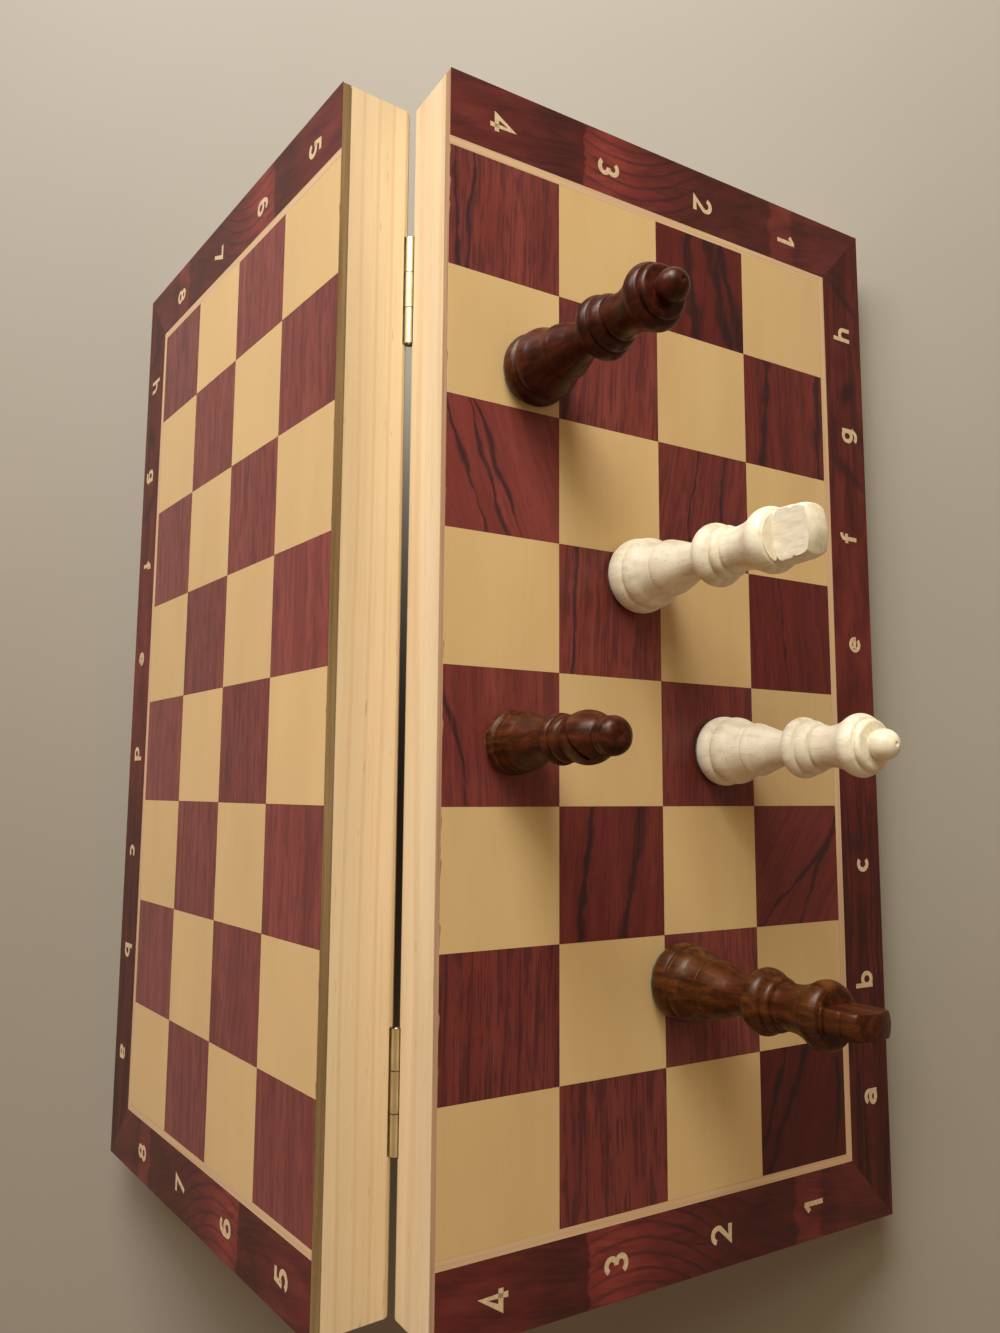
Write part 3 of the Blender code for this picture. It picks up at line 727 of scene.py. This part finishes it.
def square_corners(half, out_index, file_index, name):
    """The square's outline inside its glue lines; the squares by the stringing are cut narrower."""
    inset = JOINT_LINE / 2
    high = min(half.edge - file_index * SQUARE, half.edge + STRINGING["h"][0]) - inset
    low = max(half.edge - (file_index + 1) * SQUARE, -half.edge - STRINGING["a"][0]) + inset
    end = (out_index + 1) * SQUARE - inset
    if out_index:
        near = out_index * SQUARE + inset
        edge = [(near, high), (near, low)]
    else:
        edge = chipped_edge(name, half.start, high, low)
    return edge + [(end, low), (end, high)]


def streak_distance(streak, out, along):
    """Signed distance in metres to a straight streak: (offset in millimetres, slant in degrees)."""
    offset, slant = streak
    angle = math.radians(slant)
    return (out - offset * MM) * math.cos(angle) - along * math.sin(angle)


def frame_strip(half, place, part):
    """Mitred corners of the stringing or the border on one of the frame's three sides."""
    end = FIELD_OUT
    rim = half.width - end
    spans = {side: STRINGING[side] if part == "stringing" else (STRINGING[side][1] + JOINT_LINE, rim)
             for side in STRINGING}
    inner, outer = spans[place]
    if place == "outer":
        (h_inner, h_outer), (a_inner, a_outer) = spans["h"], spans["a"]
        return [
            (end + inner, half.edge + h_inner), (end + outer, half.edge + h_outer),
            (end + outer, -half.edge - a_outer), (end + inner, -half.edge - a_inner),
        ]
    sign = 1 if place == "h" else -1
    near, far = sign * (half.edge + inner), sign * (half.edge + outer)
    out_inner, out_outer = spans["outer"]
    return [(half.start, near), (end + out_inner, near), (end + out_outer, far), (half.start, far)]


def build_frame(half, looks):
    """The pale stringing and the dark border, mitred at the corners, on three sides of the squares.
    looks are the materials of FRAME_PIECES."""
    forms = {name: bmesh.new() for name in FRAME_PIECES}
    for place in STRINGING:
        def vectors(out, along):
            if place == "outer":
                grain = (half.length / 2 - along, out - FIELD_OUT, FOIL_LEVEL)
            else:
                grain = (out, abs(along) - half.edge, FOIL_LEVEL)
            return {"grain": Vector(grain)}
        border = "border_outer" if place == "outer" else "border_ends"
        for name in ("stringing", border):
            add_veneer(forms[name], half, frame_strip(half, place, name), vectors, {})
    for (name, form), look in zip(forms.items(), looks):
        add_piece(f"{name}_{half.side}", form, half.body, look)


def arc(centre_x, centre_y, radius_x, radius_y, first=0, last=360):
    """Points on an ellipse from one angle in degrees to another."""
    count = max(4, round(abs(last - first) / ARC_STEP))
    angles = [math.radians(first + (last - first) * i / count) for i in range(count + 1)]
    return [
        (centre_x + radius_x * math.cos(angle), centre_y + radius_y * math.sin(angle)) for angle in angles
    ]


# Centre lines of the strokes of each coordinate, in units of its height, from its baseline.
GLYPHS = {
    "1": [[(0.4, 0), (0.4, 1)], [(0.43, 0.96), (0.13, 0.73)]],
    "2": [arc(0.33, 0.68, 0.24, 0.24, 165, -30) + [(0.1, 0.09), (0.64, 0.09)]],
    "3": [arc(0.3, 0.7, 0.22, 0.21, 150, -90), arc(0.3, 0.29, 0.25, 0.21, 90, -150)],
    "4": [[(0.46, 0), (0.46, 0.94), (0.08, 0.27), (0.68, 0.27)]],
    "5": [[(0.58, 0.91), (0.2, 0.91), (0.14, 0.52)] + arc(0.32, 0.32, 0.25, 0.24, 125, -150)],
    "6": [arc(0.36, 0.5, 0.26, 0.42, 50, 190), arc(0.34, 0.32, 0.24, 0.24)],
    "7": [[(0.06, 0.91), (0.62, 0.91), (0.28, 0)]],
    "8": [arc(0.33, 0.71, 0.2, 0.2), arc(0.33, 0.3, 0.24, 0.22)],
    "a": [arc(0.3, 0.22, 0.22, 0.15), arc(0.32, 0.46, 0.21, 0.18, 160, 0) + [(0.53, 0)]],
    "b": [[(0.1, 0), (0.1, 1)], arc(0.34, 0.34, 0.23, 0.26)],
    "c": [arc(0.34, 0.34, 0.24, 0.26, 48, 312)],
    "d": [[(0.57, 0), (0.57, 1)], arc(0.33, 0.34, 0.23, 0.26)],
    "e": [[(0.11, 0.36), (0.58, 0.36)] + arc(0.34, 0.34, 0.24, 0.26, 8, 318)],
    "f": [[(0.24, 0), (0.24, 0.76)] + arc(0.44, 0.76, 0.2, 0.16, 170, 80), [(0.04, 0.62), (0.46, 0.62)]],
    "g": [
        arc(0.33, 0.34, 0.23, 0.26),
        [(0.57, 0.66), (0.57, 0)] + arc(0.33, 0, 0.24, 0.2, 0, -145),
    ],
    "h": [[(0.1, 0), (0.1, 1)], arc(0.33, 0.4, 0.23, 0.21, 180, 0) + [(0.56, 0)]],
}


def add_stroke(form, path, top, place):
    """A flat closed bar along a path, with mitred joins; place turns (x, y, up) into a point."""
    loop = math.dist(path[0], path[-1]) < SAME_PLACE
    points = [Vector(point) for point in (path[:-1] if loop else path)]
    count = len(points)
    rows = []
    for i, point in enumerate(points):
        before = (point - points[i - 1]).normalized() if i or loop else None
        after = (points[(i + 1) % count] - point).normalized() if i + 1 < count or loop else None
        before, after = before or after, after or before
        normal_before = Vector((-before.y, before.x))
        normal = (normal_before + Vector((-after.y, after.x))).normalized()
        half_width = STROKE / 2 / max(SHARPEST_MITRE, normal.dot(normal_before))
        sides = (point + normal * half_width, point - normal * half_width)
        rows.append([form.verts.new(place(side.x, side.y, up)) for up in (-INK, top) for side in sides])
    for i in range(count if loop else count - 1):
        here, there = rows[i], rows[(i + 1) % count]
        for first, second in ((0, 1), (1, 3), (3, 2), (2, 0)):
            form.faces.new((here[first], here[second], there[second], there[first]))
    if not loop:
        for row in (rows[0], rows[-1]):
            form.faces.new([row[index] for index in (0, 1, 3, 2)])


def build_coordinates(half, look):
    """Files along the outer border and ranks along both ends, all reading from outside the board."""
    form = bmesh.new()
    marks = []
    for index, file_name in enumerate(FILES):
        along = half.edge - FILE_FIRST - index * FILE_PITCH
        marks.append((file_name, FIELD_OUT + FILE_BASELINE, along, Vector((-1.0, 0.0))))
    for index in range(SQUARES_OUT):
        rank = str(half.first_rank - half.sign * index)
        for sign, beyond in RANK_BEYOND.items():
            top = Vector((half.sign * sign, 0.0))
            out = RANK_FIRST + index * RANK_PITCH - top.x * COORDINATE_HEIGHT / 2
            marks.append((rank, out, sign * (half.edge + beyond), top))
    for character, out, along, top in marks:
        right = Vector((top.y, -top.x)) * half.sign
        strokes = GLYPHS[character]
        reach = [x for stroke in strokes for x, y in stroke]
        middle = (min(reach) + max(reach)) / 2

        def place(x, y, up):
            local = (right * (x - middle) + top * y) * COORDINATE_HEIGHT
            return half.at(out + local.x, along + local.y, half.surface + VENEER + up)
        for index, stroke in enumerate(strokes):
            add_stroke(form, stroke, INK + STROKE_STAGGER * index, place)
    add_piece(f"coordinates_{half.side}", form, half.body, look)


# ---- Turned men ----

# Outlines in millimetres, base upwards: radius, height and the bulge of a curved stretch below.
# They are the CAD solids' own, but for deeper ring grooves and slightly different finials.
OUTLINES = {"king": [
    (11.9, 0.0), (12.5, 0.9, 0.1), (12.2, 5.4, 0.4), (11.2, 6.1), (11.8, 6.8), (12.0, 8.2, 0.1),
    (10.4, 11.8, 0.3), (9.0, 16.4, -0.2), (8.8, 16.8), (9.1, 17.4), (8.8, 20.6, 0.2), (6.4, 27.6, 0.1),
    (5.9, 32.0, -0.1), (6.3, 36.0, -0.1), (9.2, 37.4, -0.3), (8.4, 42.9, 1.2), (7.4, 43.4), (8.2, 44.1),
    (7.4, 46.4, 0.4), (6.3, 46.9), (7.1, 47.5), (6.9, 49.0, 0.1), (6.9, 51.4, -0.1), (9.3, 59.8, -0.5),
    (9.9, 61.8, 0.1), (8.8, 65.2, 0.4), (7.8, 65.6), (8.2, 66.1), (7.4, 66.8, 0.1), (7.0, 66.9),
    (8.4, 68.4, 0.2), (8.3, 72.4), (7.7, 73.0), (8.1, 73.8), (7.3, 78.0, 0.3), (0.0, 79.6, 0.3),
], "queen": [
    (11.2, 0.0), (11.8, 0.9, 0.1), (11.5, 4.9, 0.4), (10.5, 5.6), (11.1, 6.3), (11.5, 8.0, 0.1),
    (10.4, 12.0, 0.3), (8.8, 17.2, -0.2), (8.6, 17.6), (8.9, 18.2), (8.3, 20.8, 0.2), (6.3, 26.8, 0.1),
    (5.7, 31.0, -0.1), (6.1, 35.0, -0.1), (9.0, 36.4, -0.3), (8.9, 40.7, 0.9), (7.9, 41.2), (8.6, 41.9),
    (7.3, 45.2, 0.4), (6.1, 45.7), (6.9, 46.3), (6.7, 48.0, 0.1), (6.5, 50.4, -0.1), (9.2, 58.7, -0.5),
    (9.8, 60.7, 0.1), (8.7, 63.5, 0.3), (7.5, 63.9), (8.0, 64.6), (6.6, 66.0, 0.4), (3.9, 66.2),
    (4.2, 71.1, 0.7), (1.4, 73.4, 0.4), (0.8, 73.5), (0.0, 73.0),
], "bishop": [
    (9.4, 0.0), (9.9, 0.7, 0.1), (9.7, 3.2, 0.3), (8.8, 3.8), (9.2, 4.4), (9.1, 8.0, 0.3),
    (8.1, 12.4, 0.3), (6.3, 18.4, 0.1), (5.7, 22.6, -0.1), (6.0, 25.2, -0.1), (7.2, 25.9, -0.1),
    (7.0, 28.7, 0.5), (6.1, 29.1), (6.8, 29.8), (6.2, 32.5, 0.4), (5.3, 33.0), (5.9, 33.7),
    (5.3, 47.0, 2.1), (4.8, 47.4), (5.4, 50.4, 0.4), (0.0, 54.5, 2.2),
]}
FINIAL_BASE = 65.8 * MM
FINIAL_HALF = {"white_king": 3.9 * MM, "dark_king": 3.6 * MM}
SAWN_WITHIN = 0.3 * MM  # points this near to a finial's flat side count as sawn
# Unevenness of the sawn sides: cells a metre, depth, and a noise level for the front and the back
SAW_MARKS = [(420, 0.10 * MM, 3.0, 9.0), (1500, 0.05 * MM, 5.0, 1.0)]
# The bishop's slanting saw cut
KERF_HEIGHT = 40.2 * MM
KERF_WIDTH = 1.2 * MM
KERF_DEPTH = 5.0 * MM
KERF_ANGLE = math.radians(32.0)
KERF_REACH = 12 * MM  # how far the tool goes past the head's outside
BISHOP_HEAD_RADIUS = 7.8 * MM

BROWNNESS = {"dark_queen": 0.0, "dark_bishop": 0.5, "dark_king": 0.85}  # from red-black to olive brown
GRAIN_SHIFT = Vector((0.37, 0.11, 0.73))  # from one man's place in the wood to the next one's

# Name, outline, and its turn about its own axis in degrees
MEN = [
    ("dark_queen", "queen", 0.0),
    ("white_king", "king", 4.0),
    ("dark_bishop", "bishop", 0.0),
    ("white_queen", "queen", 0.0),
    ("dark_king", "king", 90.0),
]


def arc_points(start, end, bulge, steps):
    """Points after start on the circular arc to end whose height over its chord is bulge."""
    if bulge == 0:
        return [start.lerp(end, step / steps) for step in range(1, steps + 1)]
    chord = end - start
    outward = Vector((chord.y, -chord.x)).normalized()
    half = chord.length / 2
    radius = (half * half + bulge * bulge) / (2 * bulge)
    centre = (start + end) / 2 + outward * (bulge - radius)
    sweep = 2 * math.asin(max(-1.0, min(1.0, half / radius)))
    if abs(bulge) > half:
        sweep = math.copysign(2 * math.pi, sweep) - sweep
    spoke = start - centre
    return [centre + Matrix.Rotation(sweep * step / steps, 2) @ spoke for step in range(1, steps + 1)]


def profile_of(outline):
    """Fine (radius, height) points in metres, with every corner of the outline eased."""
    runs = []
    last = Vector(outline[0][:2])
    for radius, height, *curve in outline[1:]:
        end = Vector((radius, height))
        bulge = curve[0] if curve else 0.0
        steps = max(3, math.ceil((end - last).length * MM / PROFILE_STEP))
        runs.append([last] + arc_points(last, end, bulge, steps))
        last = end
    points = [runs[0][0]]
    for index, run in enumerate(runs):
        points += run[1:-1]
        corner = run[-1]
        if index + 1 == len(runs):
            points.append(corner)
            continue
        arms = [run[-2] - corner, runs[index + 1][1] - corner]
        into, away = (
            corner + arm.normalized() * min(EDGE_ROUNDING / MM, MOST_EASED * arm.length) for arm in arms
        )
        points += [into, (into + away) / 4 + corner / 2, away]
    return [(max(point.x, 0.0) * MM, point.y * MM) for point in points]


def build_man(name, kind, turn, material):
    """One turned body on its lift axis, with the pocket for its magnet in the foot."""
    magnet_low, magnet_high = RIGHT.box(f"{name}_magnet")
    pocket_radius = (magnet_high.y - magnet_low.y) / 2 + POCKET_CLEARANCE
    pocket_depth = magnet_high.z - magnet_low.z + POCKET_CLEARANCE
    pocket = [(0.0, pocket_depth), (pocket_radius, pocket_depth), (pocket_radius, 0.0)]
    finial_half = FINIAL_HALF.get(name)
    form = lathe(pocket + profile_of(OUTLINES[kind]), finial_half)
    if kind == "bishop":
        form = saw_kerf(form)
    paint_man(form, name, finial_half)
    stand_man(form, name, math.radians(turn))
    piece = add_piece(f"{name}_turning", form, name, material, smooth_below=SMOOTH_BELOW)
    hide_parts(f"{name}_body")


def lathe(profile, finial_half):
    """The profile turned about Z; a king's finial is sawn flat, finial_half from the axis."""
    form = bmesh.new()
    rings = []
    for radius, height in profile:
        if radius < SAME_PLACE:
            rings.append([form.verts.new((0.0, 0.0, height))])
            continue
        ring = []
        for i in range(MAN_SEGMENTS):
            angle = 2 * math.pi * (i + 0.5) / MAN_SEGMENTS
            x = radius * math.cos(angle)
            y = radius * math.sin(angle)
            if finial_half and height > FINIAL_BASE:
                x = sliced(x, y, height, finial_half)
            ring.append(form.verts.new((x, y, height)))
        rings.append(ring)
    for lower, upper in zip(rings, rings[1:]):
        for i in range(MAN_SEGMENTS):
            j = i + 1
            places = ((lower, i), (lower, j), (upper, j), (upper, i))
            corners = [row[index % len(row)] for row, index in places]
            unique = list(dict.fromkeys(corners))
            if len(unique) > 2:
                form.faces.new(unique)
    return form


def paint_man(form, name, finial_half):
    """Point attributes for the wood: its grain, its sawn faces and its colour."""
    grain = point_layer(form, "grain", "float_vector")
    rough = point_layer(form, "rough")
    tone = point_layer(form, "tone")
    shift = GRAIN_SHIFT * (1 + [man[0] for man in MEN].index(name))
    for vertex in form.verts:
        x, y, z = vertex.co
        vertex[grain] = Vector((x, z, y)) + shift
        sawn = finial_half and z > FINIAL_BASE and abs(abs(x) - finial_half) < SAWN_WITHIN
        vertex[rough] = 1.0 if sawn else 0.0
        thickness = (math.hypot(x, y) - THIN_RADIUS) / (THICK_RADIUS - THIN_RADIUS)
        share = THIN_SHARE + (1 - THIN_SHARE) * min(1.0, max(0.0, thickness))
        vertex[tone] = BROWNNESS.get(name, 0.0) * share


def stand_man(form, name, turn):
    """Move the turned form from the origin to the man's place on the right half."""
    felt_low, felt_high = RIGHT.box(f"{name}_felt")
    body_low = RIGHT.box(f"{name}_body")[0]
    middle = (felt_low + felt_high) / 2
    foot = RIGHT.at(middle.x, middle.y, body_low.z)
    across = Vector((0.0, 1.0, 0.0)) * RIGHT.sign
    axis_x = RIGHT.out * math.cos(turn) + across * math.sin(turn)
    axis_y = across * math.cos(turn) - RIGHT.out * math.sin(turn)
    for vertex in form.verts:
        x, y, z = vertex.co
        vertex.co = foot + x * axis_x + y * axis_y + z * RIGHT.up


def sliced(x, y, height, half):
    """The finial is a turned post sawn flat on both sides, a little unevenly."""
    limit = half
    for cells, depth, front, back in SAW_MARKS:
        place = Vector((y * cells, height * cells, front if x > 0 else back))
        limit += depth * noise.noise(place)
    return max(-limit, min(limit, x))


def saw_kerf(form):
    """Cut the slanting kerf into the side of the bishop's head that faces the hinge line."""
    bmesh.ops.recalc_face_normals(form, faces=form.faces)
    target = mesh_object("kerf_target", form)
    block = bmesh.new()
    bmesh.ops.create_cube(block, size=1.0)
    far = KERF_DEPTH - BISHOP_HEAD_RADIUS
    tilt = Matrix.Rotation(-KERF_ANGLE, 3, "X")
    bmesh.ops.scale(block, vec=(KERF_REACH + far, 2 * KERF_REACH, KERF_WIDTH), verts=block.verts)
    bmesh.ops.translate(block, vec=((far - KERF_REACH) / 2, 0, 0), verts=block.verts)
    bmesh.ops.rotate(block, cent=(0, 0, 0), matrix=tilt, verts=block.verts)
    bmesh.ops.translate(block, vec=(0, 0, KERF_HEIGHT), verts=block.verts)
    tool = mesh_object("kerf_tool", block)
    cut = target.modifiers.new("kerf", "BOOLEAN")
    cut.operation = "DIFFERENCE"
    cut.solver = "EXACT"
    cut.object = tool
    graph = bpy.context.evaluated_depsgraph_get()
    made = bpy.data.meshes.new_from_object(target.evaluated_get(graph), depsgraph=graph)
    result = bmesh.new()
    result.from_mesh(made)
    spare = [made, target.data, tool.data]
    for item in (target, tool):
        bpy.data.objects.remove(item)
    for mesh in spare:
        bpy.data.meshes.remove(mesh)
    return result


# ---- CAD nodes that stay ----

def dress_nodes():
    pine_long = pine_look("pine_long")
    nickel = plated_look("magnet_nickel", (0.48, 0.47, 0.45), (0.66, 0.65, 0.62))
    # The two panel cores are one board: the left copy darker and more olive, the right lighter and
    # pinker, as painted shade and light on their edges.
    core_left_painted_shade = [(0.165, 0.1, 0.04), (0.24, 0.15, 0.064), (0.33, 0.22, 0.105)]
    core_right_painted_light = [(0.27, 0.15, 0.078), (0.36, 0.21, 0.115), (0.45, 0.28, 0.165)]
    ends = [
        ("_magnet", nickel),
        ("_felt", felt_look("base_felt", (0.012, 0.05, 0.022), (0.03, 0.11, 0.05))),
    ]
    starts = [
        ("playing_panel_left", fibreboard_look("panel_core_left_painted_shade", *core_left_painted_shade)),
        ("playing_panel_right", fibreboard_look("panel_core_right_painted_light", *core_right_painted_light)),
        # The right back rail's pine is a darker copy: painted shade.
        ("back_rail_right", pine_look("pine_right_painted_shade", painted_shade=0.92)),
        ("back_rail_left", pine_long),
        ("front_rail", pine_long),
        ("side_rail", pine_look("pine_cross", turn=math.radians(90))),
        ("hinge", brass_look()),
        ("steel_sheet", plated_look("thin_steel", (0.42, 0.43, 0.45), (0.6, 0.61, 0.63))),
        ("closure_magnet", nickel),
        ("felt_lining", felt_look("tray_felt", (0.01, 0.01, 0.012), (0.034, 0.034, 0.04))),
    ]
    for name, node in frame["nodes"].items():
        fitting = [look for end, look in ends if name.endswith(end)]
        fitting += [look for start, look in starts if name.startswith(start)]
        if fitting:
            node.data.materials.clear()
            node.data.materials.append(fitting[0])


# ---- Floor, light and camera ----

FLOOR_HALF = 3.0  # metres, from its middle to each edge
LIT_POINT = Vector((0.0, 0.0, 0.05))
# Name, place, size, power and colour of each soft light, all aimed at LIT_POINT
LIGHTS = [
    ("key", (0.0, 0.95, 0.75), 0.55, 16.6, (0.95, 0.99, 1.0)),
    ("side", (-0.55, 0.9, 0.75), 0.5, 6.0, (0.95, 0.99, 1.2)),
    ("overhead", (0.1, 0.75, 1.3), 0.5, 4.2, (0.85, 1.0, 0.72)),
]
WORLD_COLOUR = (1.0, 0.69, 0.45, 1.0)
WORLD_STRENGTH = 0.34
CAMERA_FROM_AXIS = Vector((0.09402, -0.03803, 0.31635))
CAMERA_TURN = (7.0376, 11.0506, 0.3764)  # degrees
CAMERA_LENS = 27.596  # millimetres, on a sensor 36 mm wide


def build_stage():
    form = bmesh.new()
    bmesh.ops.create_grid(form, x_segments=2, y_segments=2, size=FLOOR_HALF)
    look = Look("floor_paint")
    mottle = look.noise(look.place(), 3, detail=3)
    colour = look.ramp(mottle, [(0.3, (0.258, 0.218, 0.166)), (0.7, (0.278, 0.236, 0.181))])
    floor = mesh_object("floor", form)
    floor.data.materials.append(look.finish(colour, 0.7))


def build_light():
    scene = bpy.context.scene
    scene.world = bpy.data.worlds.new("studio")
    scene.world.use_nodes = True
    background = scene.world.node_tree.nodes["Background"]
    background.inputs["Color"].default_value = WORLD_COLOUR
    background.inputs["Strength"].default_value = WORLD_STRENGTH
    scene.view_settings.view_transform = "Standard"
    for name, place, size, power, colour in LIGHTS:
        data = bpy.data.lights.new(name, "AREA")
        data.shape = "DISK"
        data.size = size
        data.energy = power
        data.color = colour
        light = add_object(name, data)
        light.location = place
        light.rotation_euler = (LIT_POINT - Vector(place)).to_track_quat("-Z", "Y").to_euler()


def build_camera():
    data = bpy.data.cameras.new("view")
    data.sensor_width = 36.0
    data.lens = CAMERA_LENS
    data.clip_start = 0.02
    data.clip_end = 20.0
    camera = add_object("view", data)
    camera.location = AXIS + CAMERA_FROM_AXIS
    camera.rotation_euler = [math.radians(angle) for angle in CAMERA_TURN]
    bpy.context.scene.camera = camera


def main():
    dress_nodes()
    dark_look = rosewood_look()
    light_look = maple_look()
    frame_looks = (stringing_look(), border_end_look(), border_outer_look())
    ink = ink_look()
    for half in (RIGHT, LEFT):
        build_squares(half, dark_look, light_look)
        build_frame(half, frame_looks)
        build_coordinates(half, ink)
    dark_wood = dark_man_look()
    white_wood = white_man_look()
    for name, kind, turn in MEN:
        build_man(name, kind, turn, dark_wood if "dark" in name else white_wood)
    build_stage()
    build_light()
    build_camera()


main()
